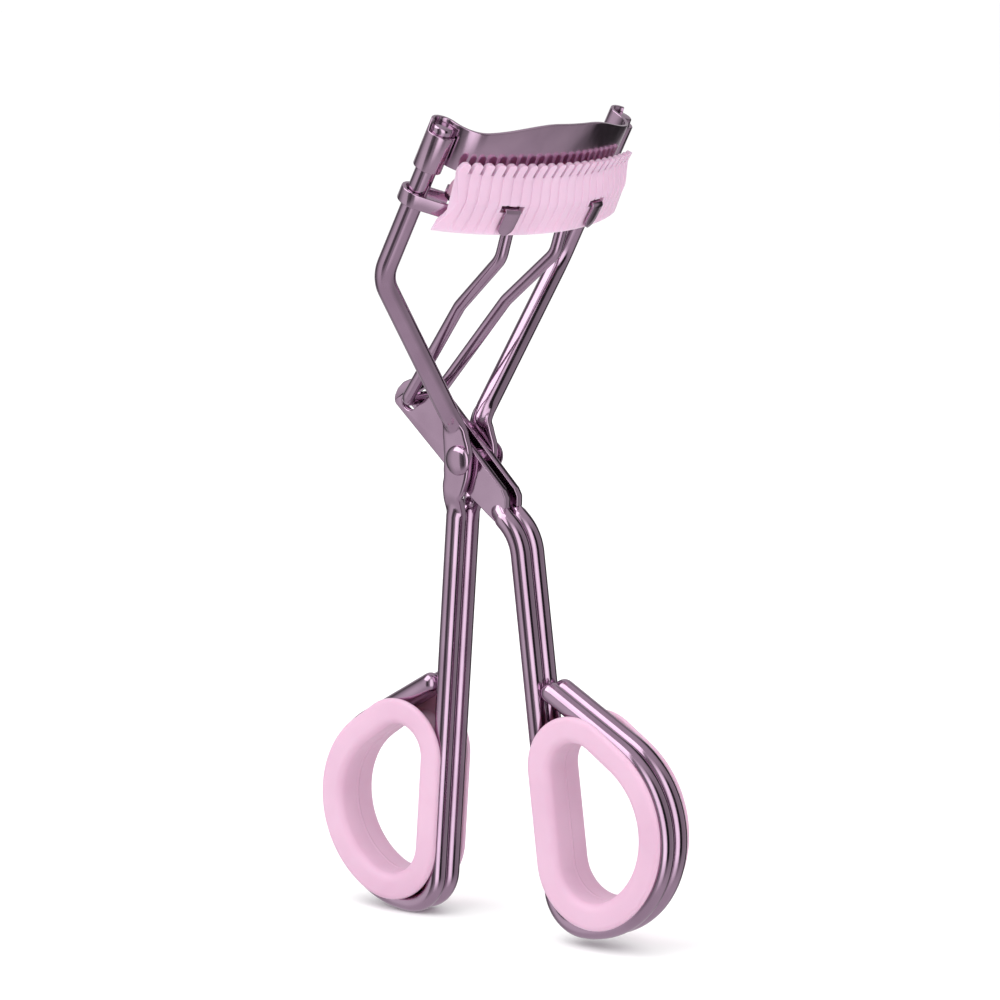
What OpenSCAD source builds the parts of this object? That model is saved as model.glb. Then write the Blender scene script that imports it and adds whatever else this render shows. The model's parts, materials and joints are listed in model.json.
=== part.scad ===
// Eyelash curler: wire frame and lever on one rivet, a sliding lower jaw with a soft pad and
// a comb guard, and soft bobbin grips in the finger loops.
// Millimetres. +Z up, +X from the frame loop to the lever loop, Y across the jaws.
// Origin: middle of the outline, at the lowest point.

/* [Placement] */
// Pivot axis from the origin along X
pivot_x = -3.3; // [-10:0.01:10]
// Pivot axis height above the lowest point
pivot_z = 59.2; // [40:0.01:80]

/* [Wires] */
// Frame and lever wire diameter
wire_d = 2.56; // [1.5:0.01:4]
// Push wire diameter
push_d = 1.56; // [1:0.01:3]
// Gap between the two wires of a shank
pair_gap = 0.06; // [0:0.01:0.5]

/* [Guide rods] */
// Half the distance between the rod axes
rod_y = 17.33; // [10:0.01:25]
// Lean of the rods from vertical, towards +X
lean = 28.8; // [0:0.1:45]
// Bend under the rods, from the pivot, along X and up
bend_x = 0.36; // [-5:0.01:5]
bend_z = 23.56; // [10:0.01:40]
// Rod top, measured along the rod from the bend
rod_top = 20.6; // [10:0.1:30]
// Inner bend radius at the wire's centre line
bend_r = 5; // [3:0.1:10]

/* [Pivot] */
// Thickness of the frame wires' flattened eyes
eye_t = 1.2; // [0.5:0.05:2]
// Centre of each eye from the mid plane
eye_y = 2.5; // [1:0.01:5]
// Thickness of the lever wires' flattened ends
blade_t = 1.1; // [0.5:0.05:2]
// Centre of each flattened end from the mid plane
blade_y = 1.2; // [0.5:0.01:3]
// Rivet shank and head radius
rivet_r = 1.1; // [0.5:0.01:2]
head_r = 1.9; // [1:0.01:4]
// Radial clearance of the lever on the rivet
run_fit = 0.04; // [0.01:0.01:0.1]

/* [Shanks and loops] */
// Frame shank: X at pivot height, and tilt from vertical
frame_shank_x = -1.32; // [-5:0.01:5]
frame_tilt = 5.1; // [0:0.1:15]
// Lever shank: X at pivot height, and tilt from vertical
lever_shank_x = 6.91; // [0:0.01:15]
lever_tilt = 6.5; // [0:0.1:15]
// Depth of each loop's top corner below the pivot
frame_loop_z = 28.9; // [20:0.1:40]
lever_loop_z = 28.0; // [20:0.1:40]

/* [Jaws] */
// Forward bulge of the jaws at their middle, and the radius of their curve
jaw_bulge = 5.6; // [3:0.1:12]
jaw_R = 44; // [20:0.5:80]
// Sheet thickness
sheet = 0.45; // [0.2:0.05:1]
// Upper jaw's lower edge, along the rods
jaw_low = 15.9; // [10:0.1:20]
// Upper jaw's upper edge, at its ends and at its crown
jaw_high = 21.15; // [18:0.05:25]
jaw_crown = 23.3; // [18:0.1:28]
// Pad top, floor of the channel, guide loops' lower edge
pad_top = 15.1; // [12:0.1:20]
floor_a = 12.1; // [8:0.1:18]
guide_low = 10.3; // [6:0.1:16]

/* [Comb guard] */
// Pitch and width of the slots between the teeth
tooth_pitch = 1.62; // [0.8:0.01:3]
slot_w = 0.5; // [0.2:0.01:1.5]
// Half the number of slots
half_slots = 10; // [4:1:20]

/* [Hidden] */
$fn = 48;
e = 0.01;
r = wire_d / 2;
pr = push_d / 2;
pair_y = r + pair_gap / 2;
barrel_out = 1.74;
barrel_in = r + 0.04;
// A wire's round joints stand this much proud of it.
swell = 0.03;
barrel_mid = (barrel_out + barrel_in) / 2;
// A tight corner at each end brings the jaw sheet back to the inner side of its barrel.
jaw_side = rod_y - barrel_mid;
corner_R = (2 * jaw_bulge * jaw_R - jaw_bulge * jaw_bulge - jaw_side * jaw_side)
    / (2 * (jaw_R - jaw_side));
jaw_c = jaw_bulge - jaw_R;
jaw_end = atan2(jaw_side - corner_R, -jaw_c);
// The push wire's cross piece from the pivot: X and Z.
cross = [-8.4, 6.9];

metal = [0.65, 0.49, 0.63];
pink = [0.93, 0.78, 0.87];

function unit(v) = v / norm(v);
function turn(a, b, c) = acos(unit(b - a) * unit(c - b));
function lead(a, b, c, R) = R * tan(turn(a, b, c) / 2);
// A point on the rods' side: distance along the rods, forward of them, and across.
function jaw_point(a, m, y) = [bend_x + a * sin(lean) + m * cos(lean), y,
    bend_z + a * cos(lean) - m * sin(lean)];
function arc_points(c, R, from, to, k) =
    [for (i = [0:k]) c + R * [cos(from + (to - from) * i / k), sin(from + (to - from) * i / k)]];

module at_pivot() translate([pivot_x, 0, pivot_z]) children();
module at_jaws() at_pivot() translate([bend_x, 0, bend_z]) rotate([0, lean, 0]) children();

// A straight round bar between two points.
module bar(p, q, rad) {
    d = q - p;
    translate(p) rotate([0, acos(d[2] / norm(d)), atan2(d[1], d[0])]) cylinder(h = norm(d), r = rad);
}

// A round bar bent about the corner b, between the straights a-b and b-c.
module elbow(a, b, c, R, rad) {
    u = unit(b - a);
    v = unit(c - b);
    w = unit(v - (v * u) * u);
    s = b - u * lead(a, b, c, R);
    o = s + w * R;
    z = cross(-w, u);
    multmatrix([[-w[0], u[0], z[0], o[0]], [-w[1], u[1], z[1], o[1]],
        [-w[2], u[2], z[2], o[2]], [0, 0, 0, 1]])
        rotate_extrude(angle = turn(a, b, c)) translate([R, 0]) circle(rad);
    translate(s) sphere(rad + swell);
    translate(b + v * lead(a, b, c, R)) sphere(rad + swell);
}

// A wire through the points p, rounded at each inner point by the radii R.
module bent_wire(p, R, rad) {
    n = len(p);
    for (i = [0:n - 2])
        bar(i == 0 ? p[0] : p[i] + unit(p[i + 1] - p[i]) * lead(p[i - 1], p[i], p[i + 1], R[i]),
            i == n - 2 ? p[n - 1]
                : p[i + 1] - unit(p[i + 1] - p[i]) * lead(p[i], p[i + 1], p[i + 2], R[i + 1]), rad);
    for (i = [1:n - 2]) elbow(p[i - 1], p[i], p[i + 1], R[i], rad);
}

// An arc of round bar in the XZ plane, angles from +X towards +Z.
module arc_bar(x, z, R, from, to, rad)
    translate([x, 0, z]) rotate([90, 0, 0]) rotate([0, 0, from])
        rotate_extrude(angle = to - from) translate([R, 0]) circle(rad);

// Loop frames: X outward from the shank, Z up along it, origin at the loop's top corner.
module frame_loop_place() translate([frame_shank_x - frame_loop_z * tan(frame_tilt), 0, -frame_loop_z])
    rotate([0, 0, 180]) rotate([0, -frame_tilt, 0]) children();
module lever_loop_place() translate([lever_shank_x + lever_loop_z * tan(lever_tilt), 0, -lever_loop_z])
    rotate([0, -lever_tilt, 0]) children();

// Finger loop of one wire: shank, tight lower corner, long outer curve, and a straight whose
// round end stops a hair short of the shank. The shank ends in a ball when it goes on.
loop_c3 = [4.5, -25.0];
loop_c2 = [5.29, -17.2];
loop_r3 = 4.5;
loop_r2 = loop_r3 + norm(loop_c2 - loop_c3);
loop_a = atan2(loop_c3[1] - loop_c2[1], loop_c3[0] - loop_c2[0]);
loop_top = 55;
loop_back = 11.9;
module loop_wire(y, up, ball) translate([0, y, 0]) {
    translate([0, 0, loop_c3[1]]) cylinder(h = up - loop_c3[1], r = r);
    arc_bar(loop_c3[0], loop_c3[1], loop_r3, -180, loop_a, r);
    arc_bar(loop_c2[0], loop_c2[1], loop_r2, loop_a, loop_top, r);
    p = [loop_c2[0] + loop_r2 * cos(loop_top), 0, loop_c2[1] + loop_r2 * sin(loop_top)];
    q = p + loop_back * [-sin(loop_top), 0, cos(loop_top)];
    bar(p, q, r);
    for (k = [p, q, [0, 0, loop_c3[1]], [loop_c3[0] + loop_r3 * cos(loop_a), 0,
        loop_c3[1] + loop_r3 * sin(loop_a)]]) translate(k) rotate([0, 0, 90]) sphere(r + swell);
    if (ball) translate([0, 0, up]) sphere(r + swell);
}

// Flat piece in the XZ plane, centred on the plane y.
module flat(y, t) translate([0, y + t / 2, 0]) rotate([90, 0, 0]) linear_extrude(t) children();

module eye_shape() difference() {
    polygon([[-2.35, 4.4], [-2.45, 1.5], [-2.45, -1.2], [-3.0, -5.2], [-0.65, -5.2], [0.7, -3.4],
        [1.45, -1.2], [1.6, 1.0], [1.2, 3.0], [0.2, 4.6]]);
    circle(rivet_r + 0.01);
}

module frame_wire(s) at_pivot() {
    bent_wire([jaw_point(rod_top, 0, s * rod_y), jaw_point(0, 0, s * rod_y),
        [-1.1, s * eye_y, 4.3]], [0, bend_r, 0], r);
    flat(s * eye_y, eye_t) eye_shape();
    frame_loop_place() loop_wire(-s * pair_y, frame_loop_z - 4.2, false);
}
module near_frame_wire() color(metal) frame_wire(-1);
module far_frame_wire() color(metal) frame_wire(1);

module frame_weld() color(metal) at_pivot() difference() {
    translate([frame_shank_x - 5.6 * tan(frame_tilt) + 0.95, 0, -5.6]) sphere(0.8);
    frame_loop_place() for (y = [-pair_y, pair_y]) translate([0, y, 0]) cylinder(h = 40, r = r + 0.005);
    for (y = [-eye_y, eye_y]) translate([-5, y - eye_t / 2 - e, -5.3]) cube([10, eye_t + 2 * e, 10]);
}

module rivet_head() difference() {
    translate([0, 0, -1.6]) sphere(sqrt(head_r * head_r + 1.6 * 1.6));
    translate([0, 0, -6]) cube(12, center = true);
}
module pivot_rivet() color(metal) at_pivot() {
    y0 = eye_y + eye_t / 2 + 0.01;
    translate([0, y0, 0]) rotate([90, 0, 0]) cylinder(h = 2 * y0, r = rivet_r);
    for (s = [-1, 1]) translate([0, s * y0, 0]) rotate([-s * 90, 0, 0]) rivet_head();
}

// Flattened end of a lever wire: open slot for the push wire, eye, and a taper to the round wire.
slot_dir = 36;
slot_r = 1.12;
slot_c = [-8.95, 6.59];
module blade_shape() difference() {
    polygon([[-11.35, 6.0], [-11.45, 7.0], [-10.9, 8.1], [-9.9, 9.0], [-8.6, 9.5], [-7.4, 9.35],
        [-6.7, 8.95], [5.75, -3.5], [6.25, -4.4], [6.2, -5.7], [4.45, -7.55], [3.2, -6.6],
        [0.7, -4.75], [-3.6, -0.75]]);
    circle(rivet_r + run_fit);
    translate(slot_c) circle(slot_r);
    translate(slot_c) rotate(slot_dir) translate([0, -slot_r]) square([8, 2 * slot_r]);
}

lever_knee = [7.97, -9.1];
module lever_wire(s) at_pivot() {
    flat(s * blade_y, blade_t) blade_shape();
    y = s * pair_y;
    bent_wire([[4.6, y, -6.0], [lever_knee[0], y, lever_knee[1]],
        [lever_shank_x + 20 * tan(lever_tilt), y, -20]], [0, 6, 0], r);
    lever_loop_place() loop_wire(y, 8 / cos(lever_tilt), true);
}
module near_lever_wire() color(metal) lever_wire(-1);
module far_lever_wire() color(metal) lever_wire(1);

// Two legs from the lower jaw's floor to the cross piece in the lever's slots.
module push_wire() color(metal) at_pivot() {
    foot = 2.9;
    leg = 5.4;
    for (s = [-1, 1])
        bent_wire([jaw_point(floor_a - 0.15, 5.45, s * leg), jaw_point(5.6, 6.6, s * (leg - 0.1)),
            [1.7, s * 4.5, 19.25], [cross[0], s * foot, cross[1]]], [0, 3, 4, 0], pr);
    for (s = [-1, 1]) translate([cross[0], s * foot, cross[1]]) sphere(pr + swell);
    bar([cross[0], -foot, cross[1]], [cross[0], foot, cross[1]], pr);
}

// Jaw pieces are drawn about the curve's centre: forward X, across Y, along the rods Z.
module jaw_arc(half) translate([jaw_c, 0, 0]) rotate([0, 0, -half]) rotate_extrude(angle = 2 * half)
    children();
function crown(y) = jaw_high + (jaw_crown - jaw_high) * (abs(y) < 3 ? 1 : abs(y) > 16 ? 0
    : (1 + cos(180 * (abs(y) - 3) / 13)) / 2);

// The sheet's face at the distance off from its middle, as seen along the rods.
function sheet_face(off) = concat(
    arc_points([0, corner_R - jaw_side], corner_R + off, -90, -jaw_end, 8),
    arc_points([jaw_c, 0], jaw_R + off, -jaw_end + 2, jaw_end - 2, 16),
    arc_points([0, jaw_side - corner_R], corner_R + off, jaw_end, 90, 8));

module upper_jaw_plate() color(metal) at_jaws() {
    front = sheet_face(sheet / 2);
    back = sheet_face(-sheet / 2);
    intersection() {
        translate([0, 0, jaw_low]) linear_extrude(12)
            polygon(concat(front, [for (i = [len(back) - 1:-1:0]) back[i]]));
        translate([-10, 0, 0]) rotate([90, 0, 90]) linear_extrude(25)
            polygon(concat([[-19, jaw_low - 1]], [for (y = [-19:1:19]) [y, crown(y)]],
                [[19, jaw_low - 1]]));
    }
    for (s = [-1, 1]) translate([0, s * rod_y, 0]) difference() {
        translate([0, 0, 15.0]) cylinder(h = 6.2, r = barrel_out);
        translate([0, 0, 14]) cylinder(h = 9, r = barrel_in);
        // The roll's free edge stops short of the sheet, and its front is a little lower.
        translate([0, 0, 14]) linear_extrude(9) polygon([[0, 0], 4 * [cos(38), -s * sin(38)],
            4 * [cos(62), -s * sin(62)], 4 * [cos(86), -s * sin(86)]]);
        translate([0.35, -4, 19.7]) cube([4, 8, 4]);
    }
}

module lower_jaw_channel() color(metal) at_jaws() jaw_arc(19.8) translate([jaw_R, floor_a])
    polygon([[-1.55, 0], [1.55, 0], [1.55, 1.5], [1.15, 1.5], [1.15, 0.4], [-1.15, 0.4], [-1.15, 1.5],
        [-1.55, 1.5]]);

// Folded strip round a rod, whose legs run forward and in under the end of the channel.
module jaw_guide(s) at_jaws() translate([0, s * rod_y, guide_low])
    linear_extrude(floor_a - guide_low - 0.01) rotate(s * 41) difference() {
        union() {
            circle(r + 0.75);
            translate([-r - 0.75, s > 0 ? -4.3 : 0]) square([2 * r + 1.5, 4.3]);
        }
        circle(r + 0.15);
        translate([-r - 0.15, s > 0 ? -6.0 : 0]) square([2 * r + 0.3, 6.0]);
    }
module near_jaw_guide() color(metal) jaw_guide(-1);
module far_jaw_guide() color(metal) jaw_guide(1);

module lash_pad() color(pink) at_jaws() {
    w = 1.1;
    jaw_arc(20.3) translate([jaw_R, floor_a + 0.42])
        polygon([[-w, 0], [w, 0], [w, 1.7], [0.8, 2.4], [0.35, pad_top - floor_a - 0.42],
            [-0.35, pad_top - floor_a - 0.42], [-0.8, 2.4], [-w, 1.7]]);
}

// Comb: a skirt outside the channel, a wall that leans in over it, and teeth that stand up again.
comb_half = 21.4;
comb_waist = 1.35;
module comb_guard() color(pink) at_jaws() difference() {
    intersection() {
        jaw_arc(comb_half) translate([jaw_R, 0])
            polygon([[1.7, 22], [2.4, 22], [comb_waist, 16.5], [2.5, 13.7], [2.2, 8.5], [1.6, 8.5],
                [1.75, 13.2], [comb_waist - 0.65, 16.5]]);
        translate([-10, 0, 0]) rotate([90, 0, 90]) linear_extrude(30)
            polygon(concat([for (y = [-18:1:18]) [y, 18.75 - 0.9 * y * y / 256]],
                [for (y = [18:-1:-18]) [y, 9.5 - 0.4 * y * y / 256]]));
    }
    for (k = [-half_slots:half_slots - 1]) {
        turn_to = (k + 0.5) * tooth_pitch / (jaw_R + comb_waist) * 180 / PI;
        y = (jaw_R + comb_waist) * sin(turn_to);
        translate([jaw_c, 0, 0]) rotate([0, 0, turn_to])
            translate([jaw_R, -slot_w / 2, 16.9 - 0.3 * y * y / 256]) cube([5, slot_w, 6]);
    }
    for (s = [-1, 1]) translate([jaw_c, 0, 0]) rotate([0, 0, s * window_a])
        translate([jaw_R, -1.8, 12.0]) cube([5, 3.6, 1.45]);
}

window_a = 10.2;
module comb_clip(s) at_jaws() translate([jaw_c, 0, 0]) rotate([0, 0, s * window_a]) intersection() {
    rotate([0, 0, -4]) rotate_extrude(angle = 8) translate([jaw_R, 0])
        polygon([[1.57, 12.75], [1.57, 13.15], [3.0, 13.15], [2.75, 9.2], [2.4, 9.2], [2.62, 12.75]]);
    union() {
        translate([0, -1.2, 10.8]) cube([60, 2.4, 4]);
        translate([0, 0, 10.8]) rotate([0, 90, 0]) cylinder(h = 60, r = 1.2);
    }
}
module near_comb_clip() color(metal) comb_clip(-1);
module far_comb_clip() color(metal) comb_clip(1);

// Soft bobbin in a finger loop: two rims that hide the wires' inner half, and a thin core.
grip_c1 = [6.1, -9.9];
grip_c2 = [5.4, -16.9];
grip_c3 = [4.0, -24.7];
grip_r1 = 7.0;
grip_r3 = 4.9;
grip_r2 = grip_r3 + norm(grip_c2 - grip_c3);
grip_a1 = atan2(grip_c1[1] - grip_c2[1], grip_c1[0] - grip_c2[0])
    - acos((grip_r2 - grip_r1) / norm(grip_c1 - grip_c2));
grip_a3 = atan2(grip_c3[1] - grip_c2[1], grip_c3[0] - grip_c2[0]);
module grip_outline(off) polygon(concat(arc_points(grip_c1, grip_r1 + off, 180, grip_a1, 14),
    arc_points(grip_c2, grip_r2 + off, grip_a1, grip_a3, 26),
    arc_points(grip_c3, grip_r3 + off, grip_a3, -180, 10)));
grip_half = 3.4;
module ring_grip() {
    for (s = [-1, 1]) flat(s * (grip_half + 2.62) / 2, grip_half - 2.62) difference() {
        grip_outline(0);
        grip_outline(-3.1);
    }
    flat(0, 5.26) difference() {
        grip_outline(-2.45);
        grip_outline(-3.1);
    }
}
module frame_ring_grip() color(pink) at_pivot() frame_loop_place() ring_grip();
module lever_ring_grip() color(pink) at_pivot() lever_loop_place() ring_grip();

upper_jaw_plate();
near_frame_wire();
far_frame_wire();
frame_weld();
pivot_rivet();
near_lever_wire();
far_lever_wire();
push_wire();
lower_jaw_channel();
near_jaw_guide();
far_jaw_guide();
lash_pad();
comb_guard();
near_comb_clip();
far_comb_clip();
frame_ring_grip();
lever_ring_grip();
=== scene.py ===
import json
import math

import bmesh
import bpy
from mathutils import Matrix, Vector


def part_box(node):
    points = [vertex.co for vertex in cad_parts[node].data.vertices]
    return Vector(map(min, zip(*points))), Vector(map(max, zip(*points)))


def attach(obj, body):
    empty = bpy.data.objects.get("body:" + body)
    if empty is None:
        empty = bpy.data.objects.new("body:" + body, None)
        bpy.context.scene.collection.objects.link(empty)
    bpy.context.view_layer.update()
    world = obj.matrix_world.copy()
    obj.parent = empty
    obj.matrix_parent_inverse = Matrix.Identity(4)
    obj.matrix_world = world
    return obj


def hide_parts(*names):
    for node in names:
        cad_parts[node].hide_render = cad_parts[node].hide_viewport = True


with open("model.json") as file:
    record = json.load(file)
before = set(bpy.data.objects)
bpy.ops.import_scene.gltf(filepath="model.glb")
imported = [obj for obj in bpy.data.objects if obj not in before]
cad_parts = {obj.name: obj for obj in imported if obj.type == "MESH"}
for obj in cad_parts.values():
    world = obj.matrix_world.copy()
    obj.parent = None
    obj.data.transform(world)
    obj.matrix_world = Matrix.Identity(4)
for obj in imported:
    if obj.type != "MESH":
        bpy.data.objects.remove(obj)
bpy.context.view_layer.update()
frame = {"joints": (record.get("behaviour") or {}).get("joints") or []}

# Lengths are in millimetres up to the mesh builder, which turns them into metres.
MM = 0.001
JOINTS = {j["name"]: j for j in frame["joints"]}
PIVOT = Vector(JOINTS["lever_pivot"]["pos_m"]) / MM
ALONG = Vector(JOINTS["jaw_slide"]["axis"]).normalized()
LEAN = math.atan2(ALONG.x, ALONG.z)
FORWARD = Vector((math.cos(LEAN), 0, -math.sin(LEAN)))
ACROSS = Vector((0, 1, 0))

# Wires
WIRE_R = 1.28
PUSH_R = 0.78
PAIR_Y = 1.31
STEP = 0.45

# Guide rods, from their bend up, and the flattened wires on the pivot
ROD_Y = 17.33
BEND = Vector((0.36, 0, 23.56))
ROD_TOP = 20.6
BEND_R = 5.0
EYE_Y = 2.5
EYE_HALF = 0.6
BLADE_Y = 1.2
BLADE_HALF = 0.55
BLADE_EDGE = 0.16

# Finger loops, in a loop's own frame: outward from the shank, and up along it
CORNER = (4.5, -25.0)
CORNER_R = 4.5
BOW = (5.29, -17.2)
BOW_R = CORNER_R + math.dist(CORNER, BOW)
BOW_LOW = math.degrees(math.atan2(CORNER[1] - BOW[1], CORNER[0] - BOW[0]))
BOW_HIGH = 55
RETURN = 11.9
# Each shank: X at the pivot, loop's depth, tilt in degrees, and the side that the loop is on
SHANKS = {"frame": (-1.32, 28.9, 5.1, -1), "lever": (6.91, 28.0, 6.5, 1)}

# Jaws: a wide curve forward of the rods, with a tight corner back to a roll at each end
SHEET = 0.45
BULGE = 5.6
JAW_R = 44
ROLL_R = 1.53
JAW_SIDE = ROD_Y - ROLL_R
JAW_CORNER_R = (2 * BULGE * JAW_R - BULGE ** 2 - JAW_SIDE ** 2) / (2 * (JAW_R - JAW_SIDE))
JAW_C = BULGE - JAW_R
JAW_END = math.degrees(math.atan2(JAW_SIDE - JAW_CORNER_R, -JAW_C))
JAW_LOW = 15.9
ROLL_LOW = 15.0
ROLL_FRONT = 19.7
JAW_HIGH = 21.15
JAW_CROWN = 23.3

# Lower jaw, by height along the rods
FLOOR_A = 12.1
GUIDE_LOW = 10.3
GUIDE_TURN = 41
GUIDE_HALF = 0.28
PAD_TOP = 15.1

# Comb: stations as (along the rods, outward) on its inner and outer faces
COMB_HALF = 21.35
COMB_INNER = [(9, 1.62), (12.8, 1.74), (13.3, 1.7), (14.0, 1.5), (15.2, 1.12), (16.2, 0.81), (16.7, 0.76),
              (19, 1.14)]
COMB_OUTER = [(9, 2.23), (12.7, 2.43), (13.3, 2.46), (13.8, 2.41), (14.3, 2.24), (15.4, 1.8), (16.2, 1.48),
              (16.7, 1.4), (19, 1.8)]
COMB_WAIST = 1.35
# How far the comb's ends run on past the straight cut, in degrees, by height along the rods
COMB_END = [(9, 1.5), (9.6, 1.4), (10.8, 0.4), (12.2, -0.75), (13.3, -0.95), (14.5, -0.5), (16.5, 0.1),
            (19, 0.0)]
COMB_END_FROM = 18.6
COMB_TOP = 18.72
COMB_FOOT = 9.52
SLOT_FOOT = 16.9
# How much lower the comb's top, its foot and its slots are at 16 mm from the middle
TOP_FALL, FOOT_FALL, SLOT_FALL = 0.9, 0.4, 0.3
TOOTH_PITCH = 1.62
SLOT_W = 0.5
HALF_SLOTS = 10
GROOVE = 0.13
WINDOW_AT = 10.2
WINDOW_HALF = 1.8
WINDOW_LOW, WINDOW_HIGH = 12.5, 13.45


# ---------------------------------------------------------------- places

def at_pivot(x, y, z):
    return PIVOT + Vector((x, y, z))


def jaw(a, m, y):
    """A point of the jaws: along the rods, forward of them, across."""
    return PIVOT + BEND + a * ALONG + m * FORWARD + y * ACROSS


def jaw_polar(rho, angle, a):
    """The same from the jaw curve: outward of it, round it in degrees, along the rods."""
    t = math.radians(angle)
    return jaw(a, JAW_C + (JAW_R + rho) * math.cos(t), (JAW_R + rho) * math.sin(t))


def loop_point(which, n, z, y):
    """A point in a finger loop's own frame: outward, up the shank, across."""
    x0, drop, tilt, side = SHANKS[which]
    t = math.radians(tilt)
    x = n * math.cos(t) - z * math.sin(t)
    return at_pivot(x0 + side * (drop * math.tan(t) + x), y, n * math.sin(t) + z * math.cos(t) - drop)


# ---------------------------------------------------------------- small maths

def mix(a, b, t):
    return a + (b - a) * t


def smooth(t):
    t = min(1.0, max(0.0, t))
    return t * t * (3 - 2 * t)


def keyed(keys, x):
    """Smooth value of a list of (x, value) at x, with x rising."""
    if x <= keys[0][0]:
        return keys[0][1]
    for (x0, v0), (x1, v1) in zip(keys, keys[1:]):
        if x <= x1:
            return mix(v0, v1, smooth((x - x0) / (x1 - x0)))
    return keys[-1][1]


def rounded(points, radii, arc=7):
    """The polyline points, with each inner corner turned into an arc of its radius."""
    out = [points[0]]
    for a, b, c, radius in zip(points, points[1:], points[2:], radii):
        u, v = (a - b).normalized(), (c - b).normalized()
        half = u.angle(v) / 2
        if radius <= 0 or half > math.radians(89.5):
            out.append(b)
            continue
        reach = radius / math.tan(half)
        centre = b + (u + v).normalized() * (radius / math.sin(half))
        p, q = b + u * reach - centre, b + v * reach - centre
        total = p.angle(q)
        for k in range(arc + 1):
            s = k / arc
            out.append(centre + (p * math.sin((1 - s) * total) + q * math.sin(s * total)) / math.sin(total))
    out.append(points[-1])
    return out


def arc2(centre, radius, start, end, steps):
    """Points of a flat arc, degrees from the first axis towards the second."""
    angles = [math.radians(mix(start, end, k / steps)) for k in range(steps + 1)]
    return [(centre[0] + radius * math.cos(t), centre[1] + radius * math.sin(t)) for t in angles]


def straight(keys, x):
    """Value at x of the straight lines through a list of (x, value)."""
    for (x0, v0), (x1, v1) in zip(keys, keys[1:]):
        if x <= x1:
            break
    return mix(v0, v1, (x - x0) / (x1 - x0))


def dense(points, step):
    """The same line with no gap between points wider than step."""
    out = [points[0]]
    for a, b in zip(points, points[1:]):
        gap = (b - a).length
        if gap < 1e-6:
            continue
        n = max(1, math.ceil(gap / step))
        out += [a.lerp(b, (k + 1) / n) for k in range(n)]
    return out


# ---------------------------------------------------------------- mesh building

def volume(points, faces):
    """Volume of a closed shell, negative where its faces look inwards."""
    return sum(points[f[0]].dot(points[a].cross(points[b])) for f in faces for a, b in zip(f[1:], f[2:])) / 6


def solid(name, shells, weld=False):
    """One object from closed shells of (points in mm, faces). weld joins points that fall together."""
    mesh = bpy.data.meshes.new(name)
    form = bmesh.new()
    for points, faces in shells:
        verts = [form.verts.new(p * MM) for p in points]
        way = 1 if volume(points, faces) > 0 else -1
        for f in faces:
            form.faces.new([verts[i] for i in f[::way]])
    if weld:
        bmesh.ops.remove_doubles(form, verts=form.verts, dist=0.00001 * MM)
    form.to_mesh(mesh)
    form.free()
    obj = bpy.data.objects.new(name, mesh)
    bpy.context.scene.collection.objects.link(obj)
    return obj


def piece(name, shells, material, body, nodes, crease=40, holes=None):
    """A finished object that rides on a body and stands for CAD nodes."""
    obj = solid(name, shells, weld=bool(holes))
    obj.data.materials.append(material)
    if holes:
        cutter = solid("cutter", holes)
        cut = obj.modifiers.new("holes", "BOOLEAN")
        cut.operation, cut.solver, cut.object = "DIFFERENCE", "EXACT", cutter
    bpy.context.view_layer.objects.active = obj
    obj.select_set(True)
    for m in list(obj.modifiers):
        bpy.ops.object.modifier_apply(modifier=m.name)
    bpy.ops.object.shade_smooth_by_angle(angle=math.radians(crease))
    obj.select_set(False)
    if holes:
        bpy.data.objects.remove(cutter)
    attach(obj, body)
    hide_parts(*nodes)
    return obj


def loft(rings, closed=False):
    """A skin over rings of equal length. Open lofts get flat ends."""
    n = len(rings[0])
    points = [p for ring in rings for p in ring]
    faces = []
    last = len(rings) if closed else len(rings) - 1
    for i in range(last):
        j = (i + 1) % len(rings)
        for k in range(n):
            m = (k + 1) % n
            faces.append([i * n + k, i * n + m, j * n + m, j * n + k])
    if not closed:
        faces.append(list(range(n))[::-1])
        faces.append([(len(rings) - 1) * n + k for k in range(n)])
    return points, faces


def tangents(line):
    out = []
    for i in range(len(line)):
        a, b = line[max(0, i - 1)], line[min(len(line) - 1, i + 1)]
        out.append((b - a).normalized())
    return out


def wire_ring(centre, u, v, wide, thin, sunk, radius, count=32):
    """Section of a wire that is round where sunk is 0 and pressed flat where it is large."""
    ring = []
    for k in range(count):
        t = 2 * math.pi * (k + 0.5) / count
        x = wide * math.cos(t)
        flat = thin * max(0.0, 1 - abs(math.cos(t)) ** 5) ** 0.2
        bow = math.sqrt(max(0.0, radius ** 2 - x ** 2)) - sunk
        ring.append(centre + u * x + v * math.copysign(max(flat, bow), math.sin(t)))
    return ring


def round_wire(line, radius, shape=None):
    """A wire along a line, flat at its start and domed at its end.

    shape(point) gives (half width, half thickness, sunk) where it is pressed.
    """
    rings = []
    ways = tangents(line)
    for p, way in zip(line, ways):
        v = (ACROSS - ACROSS.dot(way) * way).normalized()
        u = way.cross(v)
        wide, thin, sunk = shape(p) if shape else (radius, 0, 0)
        rings.append(wire_ring(p, u, v, wide, thin, sunk, radius))
    return loft(flat_start(rings[0], ways[0], radius) + rings[1:] + dome(rings[-1], ways[-1], radius))


def flat_start(ring, way, radius):
    """Rings that give a wire's flat start a small edge radius."""
    centre = sum(ring, Vector()) / len(ring)
    edge = 0.16 * radius
    rings = []
    for t in (90, 60, 30):
        s = math.radians(t)
        scale = 1 - (edge / radius) * (1 - math.cos(s))
        rings.append([centre + (p - centre) * scale + way * edge * (1 - math.sin(s)) for p in ring])
    return rings


def dome(ring, way, radius):
    """Rings that close a wire's end as a half sphere."""
    centre = sum(ring, Vector()) / len(ring)
    rings = []
    for k in range(1, 8):
        t = math.radians(90 * k / 7.3)
        rings.append([centre + (p - centre) * math.cos(t) + way * radius * math.sin(t) for p in ring])
    return rings


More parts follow.
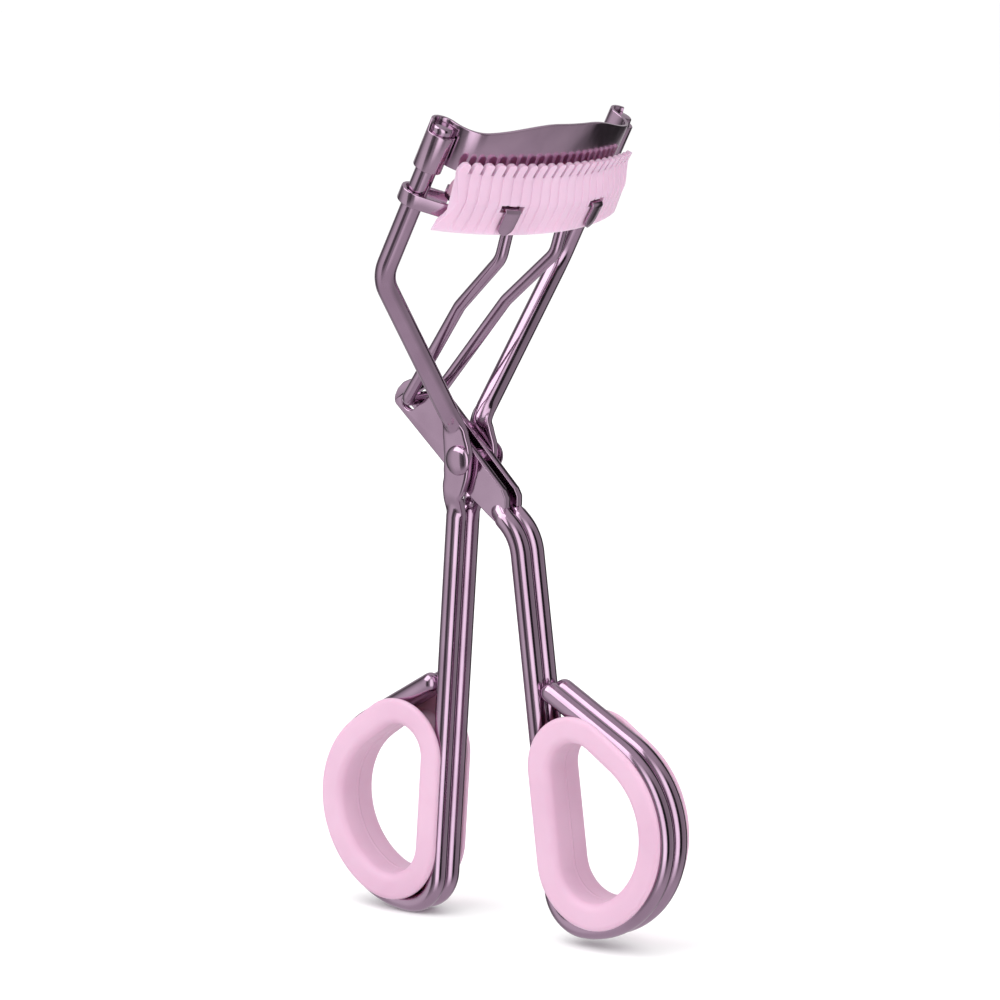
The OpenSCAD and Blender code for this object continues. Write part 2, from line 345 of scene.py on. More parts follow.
def even_tube(line, radius, count=24):
    """A round tube whose section is carried along the line with no twist."""
    ways = tangents(line)
    u = ways[0].orthogonal().normalized()
    rings = []
    for p, way in zip(line, ways):
        u = (u - u.dot(way) * way).normalized()
        v = way.cross(u)
        angles = [2 * math.pi * k / count for k in range(count)]
        rings.append([p + radius * (u * math.cos(t) + v * math.sin(t)) for t in angles])
    return loft(rings)


def strip_ring(low, high, left, right, edge=0.12):
    """Section of sheet metal as (across, up) pairs with small rounded edges."""
    ring = []
    for x, y, start in ((right, low, -90), (right, high, 0), (left, high, 90), (left, low, 180)):
        cx = x - math.copysign(edge, x - (left + right) / 2)
        cy = y - math.copysign(edge, y - (low + high) / 2)
        for k in range(4):
            t = math.radians(start + 30 * k)
            ring.append((cx + edge * math.cos(t), cy + edge * math.sin(t)))
    return ring


def plate(outline, place, half, edge):
    """A flat plate with rolled edges from a closed outline of (x, z). place(x, z, t) puts t across it."""
    n = len(outline)
    inward = []
    for i in range(n):
        a, b = Vector(outline[i - 1]), Vector(outline[(i + 1) % n])
        d = (b - a).normalized()
        inward.append(Vector((-d.y, d.x)))
    rings = []
    for k in range(9):
        t = math.radians(-90 + 22.5 * k)
        inset = edge * (1 - math.cos(t))
        depth = math.copysign(half - edge, t) if abs(t) > 1e-6 else 0
        depth += edge * math.sin(t)
        ring = [Vector(p) + w * inset for p, w in zip(outline, inward)]
        rings.append([place(p.x, p.y, depth) for p in ring])
    return loft(rings)


# ---------------------------------------------------------------- materials

def principled(name, colour, metallic, roughness):
    mat = bpy.data.materials.new(name)
    mat.use_nodes = True
    shader = mat.node_tree.nodes["Principled BSDF"]
    shader.inputs["Base Color"].default_value = (*colour, 1)
    shader.inputs["Metallic"].default_value = metallic
    shader.inputs["Roughness"].default_value = roughness
    return mat, mat.node_tree.nodes, mat.node_tree.links, shader


def noise(nodes, links, scale, detail, stretch=(1, 1, 1)):
    """Noise in the object's own space, in features per metre."""
    where = nodes.new("ShaderNodeTexCoord")
    place = nodes.new("ShaderNodeMapping")
    place.inputs["Scale"].default_value = stretch
    tex = nodes.new("ShaderNodeTexNoise")
    tex.inputs["Scale"].default_value = scale
    tex.inputs["Detail"].default_value = detail
    links.new(where.outputs["Object"], place.inputs["Vector"])
    links.new(place.outputs["Vector"], tex.inputs["Vector"])
    return tex.outputs["Fac"]


def ramp(nodes, links, value, low, high):
    """Two colours, or two greys, by a value."""
    node = nodes.new("ShaderNodeValToRGB")
    node.color_ramp.elements[0].position = 0.35
    node.color_ramp.elements[1].position = 0.65
    node.color_ramp.elements[0].color = (*low, 1)
    node.color_ramp.elements[1].color = (*high, 1)
    links.new(value, node.inputs["Fac"])
    return node.outputs["Color"]


def to_range(nodes, links, value, low, high):
    node = nodes.new("ShaderNodeMapRange")
    node.inputs["From Min"].default_value = 0.3
    node.inputs["From Max"].default_value = 0.7
    node.inputs["To Min"].default_value = low
    node.inputs["To Max"].default_value = high
    links.new(value, node.inputs["Value"])
    return node.outputs["Result"]


def bump(nodes, links, shader, value, strength, distance):
    node = nodes.new("ShaderNodeBump")
    node.inputs["Strength"].default_value = strength
    node.inputs["Distance"].default_value = distance
    links.new(value, node.inputs["Height"])
    links.new(node.outputs["Normal"], shader.inputs["Normal"])


def plated_metal(name, low, high, rough):
    """Bright mauve plating: the tint drifts a little, with faint polishing marks."""
    mat, nodes, links, shader = principled(name, high, 1.0, rough)
    tint = noise(nodes, links, 160, 3)
    links.new(ramp(nodes, links, tint, low, high), shader.inputs["Base Color"])
    marks = noise(nodes, links, 900, 4, (1, 1, 0.25))
    links.new(to_range(nodes, links, marks, rough * 0.75, rough * 1.35), shader.inputs["Roughness"])
    bump(nodes, links, shader, noise(nodes, links, 420, 3), 0.05, 0.00004)
    return mat


def soft_plastic(name, low, high, rough, grain, scatter=0.25):
    """Moulded soft plastic: fine satin grain, light scattered under the skin."""
    mat, nodes, links, shader = principled(name, high, 0.0, rough)
    shader.inputs["Subsurface Weight"].default_value = scatter
    shader.inputs["Subsurface Radius"].default_value = (1.0, 0.45, 0.6)
    shader.inputs["Subsurface Scale"].default_value = 0.0015
    shader.inputs["IOR"].default_value = 1.42
    cloud = noise(nodes, links, 90, 3)
    links.new(ramp(nodes, links, cloud, low, high), shader.inputs["Base Color"])
    speck = noise(nodes, links, 2500, 3)
    links.new(to_range(nodes, links, speck, rough * 0.85, rough * 1.15), shader.inputs["Roughness"])
    bump(nodes, links, shader, speck, grain, 0.00003)
    return mat


WIRE = plated_metal("plated_wire", (0.44, 0.30, 0.41), (0.50, 0.35, 0.47), 0.12)
PRESSED = plated_metal("plated_sheet", (0.46, 0.32, 0.43), (0.53, 0.37, 0.49), 0.16)
GRIP = soft_plastic("pink_grip", (0.57, 0.36, 0.48), (0.61, 0.40, 0.52), 0.42, 0.10)
COMB = soft_plastic("pink_comb", (0.61, 0.41, 0.54), (0.65, 0.45, 0.58), 0.36, 0.06, scatter=0.3)
PAD = soft_plastic("pink_pad", (0.62, 0.35, 0.48), (0.67, 0.40, 0.53), 0.34, 0.12, scatter=0.4)


# ---------------------------------------------------------------- wires

def loop_line(which, y):
    """Finger loop's centre line, from the foot of the shank round to its blunt end."""
    flat = arc2(CORNER, CORNER_R, -180, BOW_LOW, 24) + arc2(BOW, BOW_R, BOW_LOW, BOW_HIGH, 40)[1:]
    t = math.radians(BOW_HIGH)
    n, z = flat[-1]
    flat.append((n - RETURN * math.sin(t), z + RETURN * math.cos(t)))
    return [loop_point(which, n, z, y) for n, z in flat]


# The frame wires' eyes by height over the pivot: half width, and how far the round is pressed in
EYE_WIDE = [(-7.4, 1.28), (-6.2, 1.28), (-4.9, 1.3), (-3.4, 1.72), (-1.2, 1.97), (1.0, 2.03), (3.0, 1.8),
            (4.6, 1.45), (6.2, 1.28)]
EYE_SUNK = [(-7.4, 0), (-4.6, 0.9), (2.2, 0.9), (3.0, 0.66), (4.4, 0.22), (6.0, 0)]


def eye_shape(p):
    """How the wire is pressed at a point near the pivot."""
    z = p.z - PIVOT.z
    if z > 6.5 or z < -7.6:
        return WIRE_R, 0, 0
    return keyed(EYE_WIDE, z), EYE_HALF, keyed(EYE_SUNK, z)


def frame_wire(s):
    """Rod, bend, arm, flattened eye, shank and loop, all one wire."""
    y = s * EYE_Y
    shank = loop_line("frame", s * PAIR_Y)
    corners = [jaw(ROD_TOP, 0, s * ROD_Y), jaw(0, 0, s * ROD_Y), at_pivot(-1.1, y, 4.3),
               at_pivot(-0.45, y, 0.6), at_pivot(-0.8, y, -2.4), at_pivot(-1.66, y * 0.94, -4.6),
               at_pivot(-1.92, s * PAIR_Y, -6.9), shank[0]]
    line = dense(rounded(corners, [BEND_R, 3, 6, 6, 3, 3]) + shank[1:], STEP)
    return round_wire(line, WIRE_R, eye_shape)


# Lever wire's flattened end: corners as (x, z, radius), then the open slot for the push wire
BLADE_LOW = [(-11.4, 6.3, 0.9), (-3.6, -0.75, 8), (0.7, -4.75, 8), (3.2, -6.6, 5), (4.45, -7.5, 0.3),
             (6.15, -5.7, 0.3), (6.2, -4.4, 0.8), (5.7, -3.45, 0.8)]
BLADE_TIP = [(-7.25, 9.3, 0.35), (-8.6, 9.5, 0.9), (-9.9, 9.0, 1.2), (-10.9, 8.1, 1.2), (-11.4, 7.1, 0.9)]
SLOT_C = (-8.95, 6.59)
SLOT_R = 1.12
SLOT_DIR = 36
# Where the round wire leaves the blade, and how deep it is pressed by distance from its start
KNEE = Vector((7.97, 0, -9.1))
KNEE_WAY = Vector((3.37, 0, -3.1)).normalized()
KNEE_RUN = 6.6
SHOULDER = [(1.2, 0.95), (2.3, 0.42), (3.6, 0.0)]
SHOULDER_END = 4.2


def blade_outline():
    """Closed outline of the flattened end, with its open slot, as (x, z) from the pivot."""
    def corner_line(corners):
        points = [Vector((x, z, 0)) for x, z, _ in corners]
        return points, [r for _, _, r in corners]

    d = math.radians(SLOT_DIR)
    along, aside = Vector((math.cos(d), math.sin(d), 0)), Vector((-math.sin(d), math.cos(d), 0))
    centre = Vector((*SLOT_C, 0))
    mouth = centre - aside * SLOT_R + along * 3.45
    lip = centre + aside * SLOT_R + along * 2.75
    closed_end = [Vector((*p, 0)) for p in arc2(SLOT_C, SLOT_R, SLOT_DIR - 90, SLOT_DIR - 270, 12)]
    low, low_r = corner_line(BLADE_LOW)
    tip, tip_r = corner_line(BLADE_TIP)
    start = tip[-1].lerp(low[0], 0.5)
    first = rounded([start] + low + [mouth, closed_end[0]], low_r + [0.5])
    last = rounded([closed_end[-1], lip] + tip + [start], [0.25] + tip_r)
    line = first[:-1] + closed_end + last[1:-1]
    return [(p.x, p.y) for p in line]


def lever_wire(s):
    """The blade, and the round wire that grows out of it and makes the shank and the loop."""
    y = s * BLADE_Y
    blade = plate(blade_outline(), lambda x, z, t: at_pivot(x, y + t, z), BLADE_HALF, BLADE_EDGE)
    shank = loop_line("lever", s * PAIR_Y)
    begin = KNEE - KNEE_WAY * KNEE_RUN

    def shoulder(p):
        d = (p - PIVOT - begin).dot(KNEE_WAY)
        if d > SHOULDER_END or d < 0:
            return WIRE_R, 0, 0
        return WIRE_R, 0.2, keyed(SHOULDER, d)

    corners = [at_pivot(begin.x, s * PAIR_Y, begin.z), at_pivot(KNEE.x, s * PAIR_Y, KNEE.z), shank[0]]
    line = dense(rounded(corners, [6], 10) + shank[1:], STEP)
    return [blade, round_wire(line, WIRE_R, shoulder)]


def push_wire():
    """One wire: down, across through the lever's slots, and up again."""
    foot = Vector((-8.4, 0, 6.9))
    legs = []
    for s in (-1, 1):
        legs.append([jaw(FLOOR_A - 0.15, 5.45, s * 5.4), jaw(5.6, 6.6, s * 5.3),
                     at_pivot(1.7, s * 4.5, 19.25), at_pivot(foot.x, s * 2.9, foot.z)])
    corners = legs[0] + legs[1][::-1]
    return even_tube(dense(rounded(corners, [3, 4, 0.9, 0.9, 4, 3]), 0.35), PUSH_R)


def rivet():
    """Shank and two domed heads, turned about the pivot's axis."""
    rim = EYE_Y + EYE_HALF + 0.01
    shank_r, head_r, lip, height = 1.1, 1.88, 0.14, 0.72
    profile = [(shank_r, 0), (shank_r, rim), (1.72, rim), (1.84, rim + 0.05), (head_r, rim + lip)]
    profile += [(head_r * math.cos(math.radians(t)), rim + lip + height * math.sin(math.radians(t)))
                for t in range(9, 90, 9)]
    both = [(r, -h) for r, h in profile[::-1]] + profile[1:]
    rings = []
    for r, h in both:
        angles = [2 * math.pi * k / 40 for k in range(40)]
        rings.append([at_pivot(r * math.sin(t), h, r * math.cos(t)) for t in angles])
    return loft(rings)


def weld_bead():
    """A small lumpy bead between the two shanks, just under the eyes."""
    low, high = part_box("frame_weld")
    centre, half = (low + high) / 2 / MM, (high - low) / 2 / MM
    rings = []
    for i in range(1, 14):
        t = math.pi * i / 14
        ring = []
        for k in range(20):
            w = 2 * math.pi * k / 20
            lump = 0.86 + 0.07 * math.sin(3 * w + 2 * t) + 0.06 * math.sin(5 * t + w)
            d = Vector((math.sin(t) * math.cos(w), math.sin(t) * math.sin(w), math.cos(t)))
            ring.append(centre + Vector((d.x * half.x, d.y * half.y, d.z * half.z)) * lump)
        rings.append(ring)
    return loft(rings)


# ---------------------------------------------------------------- jaws

def crown(y):
    """Upper edge of the upper jaw, along the rods."""
    return mix(JAW_CROWN, JAW_HIGH, smooth((abs(y) - 3) / 13))


def roll_top(phi):
    """Upper edge round a roll, by angle from straight ahead towards the outside. The front is lower."""
    return mix(ROLL_FRONT, JAW_HIGH, smooth((phi - 118) / 12))


def jaw_end_stations(s):
    """A roll from its free edge round to its inner side, then the corner towards the middle."""
    stations = []
    for k in range(49):
        phi = mix(-38, 270, k / 48)
        t = math.radians(phi)
        out = Vector((math.cos(t), s * math.sin(t)))
        low = mix(ROLL_LOW, JAW_LOW, smooth((phi - 235) / 30))
        stations.append((Vector((0, s * ROD_Y)) + out * ROLL_R, out, low, roll_top(phi)))
    for k in range(1, 13):
        t = math.radians(mix(90, JAW_END, k / 12))
        out = Vector((math.cos(t), s * math.sin(t)))
        p = Vector((0, s * (JAW_SIDE - JAW_CORNER_R))) + out * JAW_CORNER_R
        stations.append((p, -out, JAW_LOW, crown(p.y)))
    return stations


def upper_jaw():
    """One sheet: a roll round each rod, its corner, and the wide curve between them."""
    middle = []
    for k in range(1, 48):
        t = math.radians(mix(-JAW_END, JAW_END, k / 48))
        out = Vector((math.cos(t), math.sin(t)))
        p = Vector((JAW_C, 0)) + out * JAW_R
        middle.append((p, -out, JAW_LOW, crown(p.y)))
    rings = []
    for p, out, low, high in jaw_end_stations(-1) + middle + jaw_end_stations(1)[::-1]:
        ring = strip_ring(low, high, -SHEET / 2, SHEET / 2, 0.1)
        rings.append([jaw(a, p.x + out.x * x, p.y + out.y * x) for x, a in ring])
    return loft(rings)


def jaw_sweep(section, half):
    """A section of (outward, along) pairs carried round the jaw curve, to half degrees each way."""
    count = 60
    rings = []
    for k in range(count + 1):
        angle = mix(-half, half, k / count)
        rings.append([jaw_polar(rho, angle, a) for rho, a in section])
    return loft(rings)


def channel():
    """Folded channel with rounded bends."""
    lip, thick, half = 1.5, 0.4, 1.55
    hollow = half - thick
    outer = [(-half, lip), (-half, 0), (half, 0), (half, lip)]
    inner = [(hollow, lip), (hollow, thick), (-hollow, thick), (-hollow, lip)]
    points = [Vector((x, FLOOR_A + a, 0)) for x, a in outer + inner]
    seam = points[0].lerp(points[-1], 0.5)
    line = rounded([seam] + points + [seam], [0.12, 0.55, 0.55, 0.12, 0.12, 0.15, 0.15, 0.12], 4)
    return jaw_sweep([(p.x, p.y) for p in line[:-1]], 19.75)


def lash_pad():
    """Soft pad: a foot in the channel and a rounded nose, with round ends."""
    base = FLOOR_A + 0.42
    half = [(0.0, 0.0), (0.95, 0.0), (1.08, 0.1), (1.09, 0.9), (1.09, 1.6), (1.0, 2.0), (0.74, 2.4),
            (0.4, 2.56)]
    profile = half + [(0.0, PAD_TOP - base)] + [(-x, a) for x, a in half[:0:-1]]
    rings = []
    count, round_at, end = 60, 18.9, 20.25
    for k in range(-5, count + 6):
        if 0 <= k <= count:
            angle, wide, tall = mix(-round_at, round_at, k / count), 1, 1
        else:
            t = math.radians(90 * (-k if k < 0 else k - count) / 5.4)
            angle = math.copysign(mix(round_at, end, math.sin(t)), k - count / 2)
            wide, tall = mix(0.4, 1, math.cos(t)), mix(0.5, 1, math.cos(t))
        rings.append([jaw_polar(x * wide, angle, base + 1.2 + (a - 1.2) * tall) for x, a in profile])
    return loft(rings)


def guide(s):
    """Folded strip: round a rod, with two legs that run forward and in under the channel."""
    mid = WIRE_R + 0.45
    centre = Vector((0, s * ROD_Y))
    t = math.radians(GUIDE_TURN)
    front, leg = Vector((math.cos(t), s * math.sin(t))), Vector((math.sin(t), -s * math.cos(t)))
    line = [centre + front * mid + leg * mix(3.8, 0, k / 6) for k in range(6)]
    line += [centre + mid * Vector((math.cos(w), s * math.sin(w)))
             for w in (math.radians(GUIDE_TURN + 180 * k / 24) for k in range(25))]
    line += [centre - front * mid + leg * mix(0, 4.2, k / 6) for k in range(1, 7)]
    high = FLOOR_A - 0.01
    rings = []
    for i, p in enumerate(line):
        way = (line[min(len(line) - 1, i + 1)] - line[max(0, i - 1)]).normalized()
        out = Vector((way.y, -way.x)) * s
        ring = []
        for x, a in strip_ring(GUIDE_LOW, high, -GUIDE_HALF, GUIDE_HALF):
            # The front leg's end is cut on a slant.
            slant = 0.45 * mix(-1, 1, (a - GUIDE_LOW) / (high - GUIDE_LOW)) * max(0, 1 - i / 6)
            q = p + out * x + leg * slant
            ring.append(jaw(a, q.x, q.y))
        rings.append(ring)
    return loft(rings)


def comb_fall(angle):
    """How far the comb's edges have dropped at an angle round the jaw: 0 in the middle, 1 at 16 mm."""
    return ((JAW_R + COMB_WAIST) * math.sin(math.radians(angle)) / 16) ** 2


def comb_column(angle, root, top, sunk):
    """The comb's section at an angle: up its inner face, over the top, and down its outer face."""
    foot = COMB_FOOT - FOOT_FALL * comb_fall(angle)
    skirt = (10.4, 11.2, 12)
    section = [(rho, a) for a, rho in COMB_INNER[1:-2]]
    section += [(straight(COMB_INNER, root), root), (straight(COMB_INNER, top), top)]
    section += [(straight(COMB_OUTER, top), top), (straight(COMB_OUTER, root) - sunk, root)]
    section += [(rho - sunk, a) for a, rho in COMB_OUTER[-3:0:-1]]
    section += [(straight(COMB_OUTER, a) - sunk, a) for a in skirt[::-1]]
    section += [(straight(COMB_OUTER, foot), foot)]
    section += [(straight(COMB_INNER, a), a) for a in skirt]
    run = math.copysign(smooth((abs(angle) - COMB_END_FROM) / (COMB_HALF - COMB_END_FROM)), angle)
    return [jaw_polar(rho, angle + run * straight(COMB_END, a), a) for rho, a in section]


def comb_tooth(first, last, root, open_side=0):
    """Columns across one tooth, with a rounded top. The comb's first and last teeth are rounder outside."""
    columns = []
    for k in range(9):
        x = k / 4 - 1
        angle = mix(first, last, k / 8)
        round_off = 0.34 * abs(x) ** 4.5 + (0.45 * abs(x) ** 3 if x * open_side > 0 else 0)
        top = COMB_TOP - TOP_FALL * comb_fall(angle) - round_off
        columns.append(comb_column(angle, root, top, 0))
    return columns


def comb():
    """Skirt, leaning wall and upright teeth, with a shallow groove down from each slot."""
    radius = JAW_R + COMB_WAIST
    half = math.degrees(SLOT_W / radius) / 2
    rings = []
    previous, side = -COMB_HALF, -1
    for k in range(-HALF_SLOTS, HALF_SLOTS):
        middle = math.degrees((k + 0.5) * TOOTH_PITCH / radius)
        root = SLOT_FOOT - SLOT_FALL * comb_fall(middle)
        rings += comb_tooth(previous, middle - half, root, side)
        for across, sunk in ((-1, 0), (-0.6, GROOVE), (0.6, GROOVE), (1, 0)):
            rings.append(comb_column(middle + half * across, root, root, sunk))
        previous, side = middle + half, 0
    return loft(rings + comb_tooth(previous, COMB_HALF, root, 1))


def comb_window(s):
    """Box that cuts the hole for a tongue."""
    rings = []
    for x in (-WINDOW_HALF, WINDOW_HALF):
        turn = s * WINDOW_AT + math.degrees(x / (JAW_R + 2.1))
        box = ((1.2, WINDOW_LOW), (1.2, WINDOW_HIGH), (3.4, WINDOW_HIGH), (3.4, WINDOW_LOW))
        rings.append([jaw_polar(rho, turn, a) for rho, a in box])
    return loft(rings)


def comb_clip(s):
    """Tongue from the channel that comes out of the comb's window and turns down over the skirt."""
    path = [Vector((1.6, 12.95, 0)), Vector((2.79, 12.95, 0)), Vector((2.58, 9.62, 0))]
    line = dense(rounded(path, [0.35], 6), 0.15)
    ways = tangents(line)
    half_width, half_thick = 1.2, 0.17
    left = sum((b - a).length for a, b in zip(line, line[1:]))
    rings = []
    for i, (p, way) in enumerate(zip(line, ways)):
        wide = math.sqrt(max(0.05, half_width ** 2 - max(0.0, half_width - left) ** 2))
        if i + 1 < len(line):
            left -= (line[i + 1] - p).length
        out = Vector((-way.y, way.x, 0))
        ring = []
        for h, x in strip_ring(-wide, wide, -half_thick, half_thick, 0.1):
            q = p + out * h
            turn = s * WINDOW_AT + math.degrees(x / (JAW_R + 2.4))
            ring.append(jaw_polar(q.x, turn, q.y))
        rings.append(ring)
    return loft(rings)


# ---------------------------------------------------------------- grips

def grip_outline():
    """Closed D of the grip in a loop's frame, as (centre, radius, angle) stations for any offset."""
    c1, r1 = Vector((6.1, -9.9)), 7.0
    c2 = Vector((5.4, -16.9))
    c3, r3 = Vector((7.1, -21.42)), 8.0
    r2 = r3 + (c2 - c3).length
    a1 = math.degrees(math.atan2(c1.y - c2.y, c1.x - c2.x) - math.acos((r2 - r1) / (c1 - c2).length))
    a3 = math.degrees(math.atan2(c3.y - c2.y, c3.x - c2.x))
    stations = []
    arcs = ((c1, r1, 180, a1, 34), (c2, r2, a1, a3, 46), (c3, r3, a3, -180, 26))
    for centre, radius, start, end, count in arcs:
        stations += [(centre, radius, math.radians(mix(start, end, k / count))) for k in range(count)]
    last, first = c3 - Vector((r3, 0)), c1 - Vector((r1, 0))
    for k in range(14):
        stations.append((last.lerp(first, k / 14) + Vector((r1, 0)), r1, math.pi))
    return stations


def grip_section():
    """Bobbin section as (offset from the outline, across): rims, wire groove, seam on the inner wall."""
    rim, groove, wall, bed = 3.4, 2.62, -3.35, -2.45
    half = [(bed, 0.0), (bed, groove - 0.15), (bed + 0.15, groove), (-0.3, groove), (-0.1, groove + 0.08),
            (0.0, groove + 0.3), (-0.06, rim - 0.22), (-0.28, rim - 0.05), (-0.7, rim), (-1.5, rim - 0.01)]
    for t in range(0, 91, 15):
        s = math.radians(t)
        half.append((wall + 1.15 - 1.15 * math.sin(s), rim - 0.95 + 0.95 * math.cos(s)))
    half += [(wall - 0.03, 1.2), (wall - 0.02, 0.35), (wall - 0.02, 0.10), (wall - 0.07, 0.05),
             (wall - 0.07, 0.0)]
    other = [(off, -y) for off, y in half[-2:0:-1]]
    return half + other


def ring_grip(which):
    section = grip_section()
    rings = []
    for centre, radius, t in grip_outline():
        way = Vector((math.cos(t), math.sin(t)))
        ring = []
        for off, y in section:
            p = centre + way * (radius + off)
            ring.append(loop_point(which, p.x, p.y, y))
        rings.append(ring)
    return loft(rings, closed=True)


# ---------------------------------------------------------------- assembly

for label, s in (("near", -1), ("far", 1)):
    piece(f"{label}_frame_wire_formed", [frame_wire(s)], WIRE, "frame", [f"{label}_frame_wire"],
          crease=50)
    piece(f"{label}_lever_wire_formed", lever_wire(s), WIRE, "lever", [f"{label}_lever_wire"],
          crease=50)
    piece(f"{label}_guide_folded", [guide(s)], PRESSED, "lower_jaw", [f"{label}_jaw_guide"])
    piece(f"{label}_comb_tongue", [comb_clip(s)], PRESSED, "lower_jaw", [f"{label}_comb_clip"])
piece("push_wire_formed", [push_wire()], WIRE, "lower_jaw", ["push_wire"], crease=50)
piece("rivet_domed", [rivet()], WIRE, "frame", ["pivot_rivet"])
piece("weld_bead", [weld_bead()], WIRE, "frame", ["frame_weld"], crease=70)
piece("upper_jaw_rolled", [upper_jaw()], PRESSED, "frame", ["upper_jaw_plate"])
piece("lower_channel_folded", [channel()], PRESSED, "lower_jaw", ["lower_jaw_channel"])
pad = piece("lash_pad_moulded", [lash_pad()], PAD, "lower_jaw", ["lash_pad"], crease=60)
piece("comb_moulded", [comb()], COMB, "lower_jaw", ["comb_guard"],
      holes=[comb_window(-1), comb_window(1)])
for which in ("frame", "lever"):
    piece(f"{which}_grip_moulded", [ring_grip(which)], GRIP, which, [f"{which}_ring_grip"],
          crease=60)


# ---------------------------------------------------------------- floor, light, camera

def floor():
    half = 30.0
    mesh = bpy.data.meshes.new("floor")
    mesh.from_pydata([(-half, -half, 0), (half, -half, 0), (half, half, 0), (-half, half, 0)], [],
                     [(0, 1, 2, 3)])
    obj = bpy.data.objects.new("floor", mesh)
    bpy.context.scene.collection.objects.link(obj)
    mat, nodes, links, shader = principled("pale_floor", (0.93, 0.93, 0.93), 0.0, 0.9)
    shader.inputs["Specular IOR Level"].default_value = 0.0
    tone = ramp(nodes, links, noise(nodes, links, 3, 2), (0.925, 0.925, 0.925), (0.935, 0.935, 0.935))
    links.new(tone, shader.inputs["Base Color"])
    mesh.materials.append(mat)
    # The table is not mirrored in the plating, so the wires keep their dark edges.
    obj.visible_glossy = False


# The camera: its direction, its distance and offset from the pivot in mm, its focal length in pixels
AZIMUTH, ELEVATION, ROLL = (math.radians(x) for x in (38.83, 8.43, -0.73))
DISTANCE = 422.71
OFFSET = Vector((3.162, 5.273, 0))
FOCAL_PX = 3414.47


def camera():
    """The camera at the photo's viewing angle."""
    back = Vector((math.sin(AZIMUTH) * math.cos(ELEVATION), -math.cos(AZIMUTH) * math.cos(ELEVATION),
                   math.sin(ELEVATION)))
    right = (-back).cross(Vector((0, 0, 1))).normalized()
    up = right.cross(-back)
    c, s = math.cos(ROLL), math.sin(ROLL)
    right, up = right * c + up * s, up * c - right * s
    data = bpy.data.cameras.new("camera")
    data.sensor_width = 36
    data.lens = 36 * FOCAL_PX / 1000
    data.clip_start, data.clip_end = 0.01, 100
    obj = bpy.data.objects.new("camera", data)
    bpy.context.scene.collection.objects.link(obj)
    place = PIVOT + right * OFFSET.x - up * OFFSET.y + back * DISTANCE
    obj.matrix_world = Matrix.Translation(place * MM) @ Matrix((right, up, back)).transposed().to_4x4()
    bpy.context.scene.camera = obj


def soft_box(name, azimuth, elevation, distance, size, power, mirrored):
    """A square area light that faces the object, placed by angles from the camera's side."""
    a, e = math.radians(azimuth), math.radians(elevation)
    out = Vector((math.sin(a) * math.cos(e), -math.cos(a) * math.cos(e), math.sin(e)))
    data = bpy.data.lights.new(name, "AREA")
    data.energy, data.size = power, size
    obj = bpy.data.objects.new(name, data)
    bpy.context.scene.collection.objects.link(obj)
    centre = Vector((0, 0, 0.05))
    obj.location = centre + out * distance
    obj.rotation_euler = (-out).to_track_quat("-Z", "Y").to_euler()
    obj.visible_glossy = mirrored


# What the plating mirrors, by angle round the object from the camera's side, and by height from 0 to 1
PANELS = [(-150, 0.5), (-131, 0.03), (-84, 0.8), (-59, 0.84), (-55, 0.2), (-34, 0.04), (-30, 0.25),
          (-13, 0.32), (-9, 1.45), (6, 2.0), (27, 1.5), (33, 0.02), (56, 0.02), (62, 0.36), (119, 0.42),
          (124, 0.03), (150, 0.03), (154, 0.5)]
PANEL_RISE = [(0.12, 0.0), (0.30, 1.0), (0.80, 1.0), (0.93, 0.0)]
CEILING = (0.62, 0.60, 0.62, 1)
ROOM = (1.09, 1.09, 1.09, 1)


def maths(nodes, operation, *constants):
    """A maths node, with the constants on its second and third sockets."""
    node = nodes.new("ShaderNodeMath")
    node.operation = operation
    for k, value in enumerate(constants):
        node.inputs[k + 1].default_value = value
    return node


def grey_steps(nodes, links, value, steps):
    """A grey from straight lines through (0 to 1, brightness) steps."""
    node = nodes.new("ShaderNodeValToRGB")
    elements = node.color_ramp.elements
    elements.remove(elements[-1])
    for k, (at, grey) in enumerate(steps):
        e = elements[0] if k == 0 else elements.new(at)
        e.position = at
        e.color = (grey, grey, grey, 1)
    links.new(value, node.inputs["Fac"])
    return node.outputs["Color"]


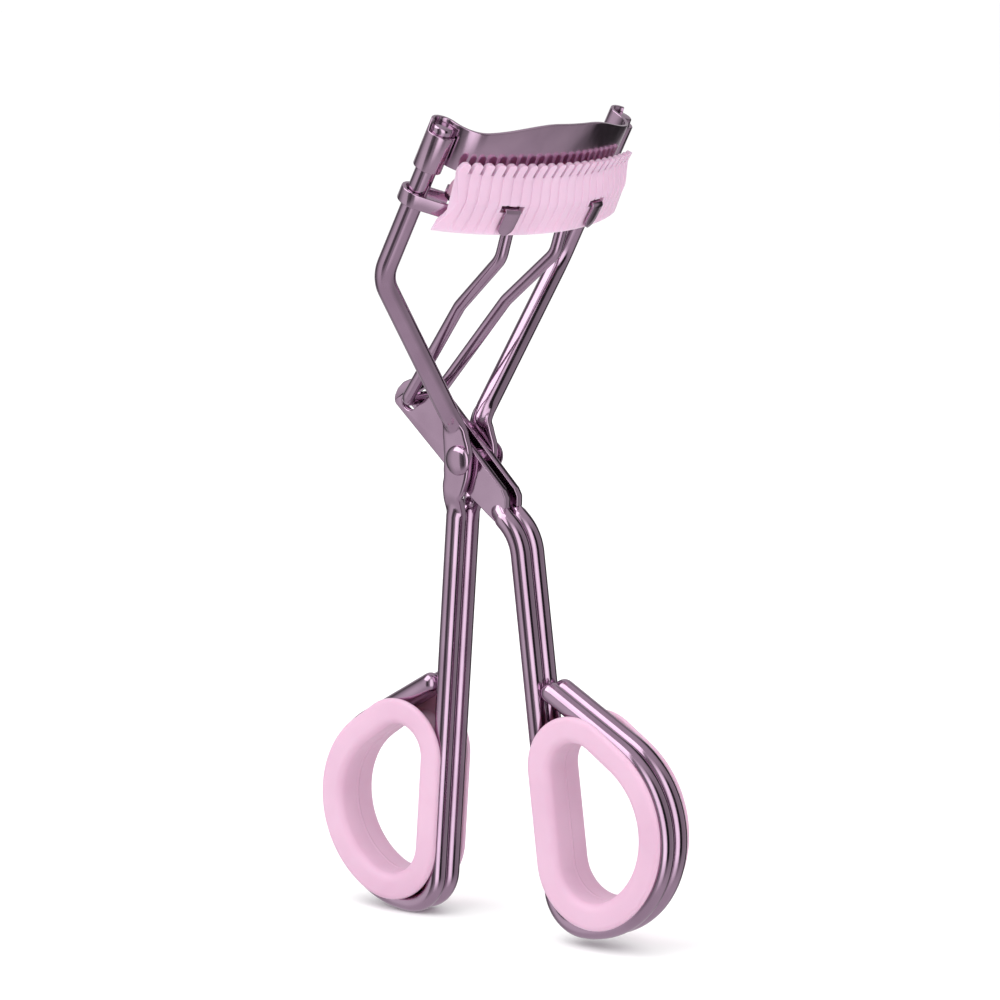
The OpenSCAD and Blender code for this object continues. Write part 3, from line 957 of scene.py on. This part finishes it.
def turn_from_camera(nodes, links, split):
    """Angle round the object from the camera's side, from -180 to 180 degrees, as 0 to 1."""
    back = maths(nodes, "MULTIPLY", -1)
    links.new(split.outputs["Y"], back.inputs[0])
    turn = maths(nodes, "ARCTAN2")
    links.new(split.outputs["X"], turn.inputs[0])
    links.new(back.outputs["Value"], turn.inputs[1])
    ring = maths(nodes, "MULTIPLY_ADD", 1 / (2 * math.pi), 0.5 - AZIMUTH / (2 * math.pi))
    links.new(turn.outputs["Value"], ring.inputs[0])
    wrap = maths(nodes, "FRACT")
    links.new(ring.outputs["Value"], wrap.inputs[0])
    return wrap.outputs["Value"]


def choice(nodes, links, factor, first, second):
    """The colour first where factor is 0, and the colour from the socket second where it is 1."""
    node = nodes.new("ShaderNodeMix")
    node.data_type = "RGBA"
    node.inputs["A"].default_value = first
    links.new(factor, node.inputs["Factor"])
    links.new(second, node.inputs["B"])
    return node.outputs["Result"]


def studio():
    """A white room for the eye and for soft light, and a ring of soft panels for the plating to mirror."""
    world = bpy.data.worlds.new("studio")
    bpy.context.scene.world = world
    world.use_nodes = True
    nodes, links = world.node_tree.nodes, world.node_tree.links
    where = nodes.new("ShaderNodeTexCoord")
    split = nodes.new("ShaderNodeSeparateXYZ")
    links.new(where.outputs["Generated"], split.inputs["Vector"])
    steps = [((angle + 180) / 360, grey) for angle, grey in PANELS]
    bands = grey_steps(nodes, links, turn_from_camera(nodes, links, split), steps)
    rise = nodes.new("ShaderNodeMapRange")
    rise.inputs["From Min"].default_value = -1
    links.new(split.outputs["Z"], rise.inputs["Value"])
    height = grey_steps(nodes, links, rise.outputs["Result"], PANEL_RISE)
    mirrored = choice(nodes, links, height, CEILING, bands)
    path = nodes.new("ShaderNodeLightPath")
    seen = choice(nodes, links, path.outputs["Is Glossy Ray"], ROOM, mirrored)
    links.new(seen, nodes["Background"].inputs["Color"])


floor()
camera()
studio()
soft_box("key", -25, 50, 0.9, 0.9, 5, True)
soft_box("fill", 80, 35, 0.9, 0.6, 2, False)
bpy.context.scene.view_settings.view_transform = "Standard"
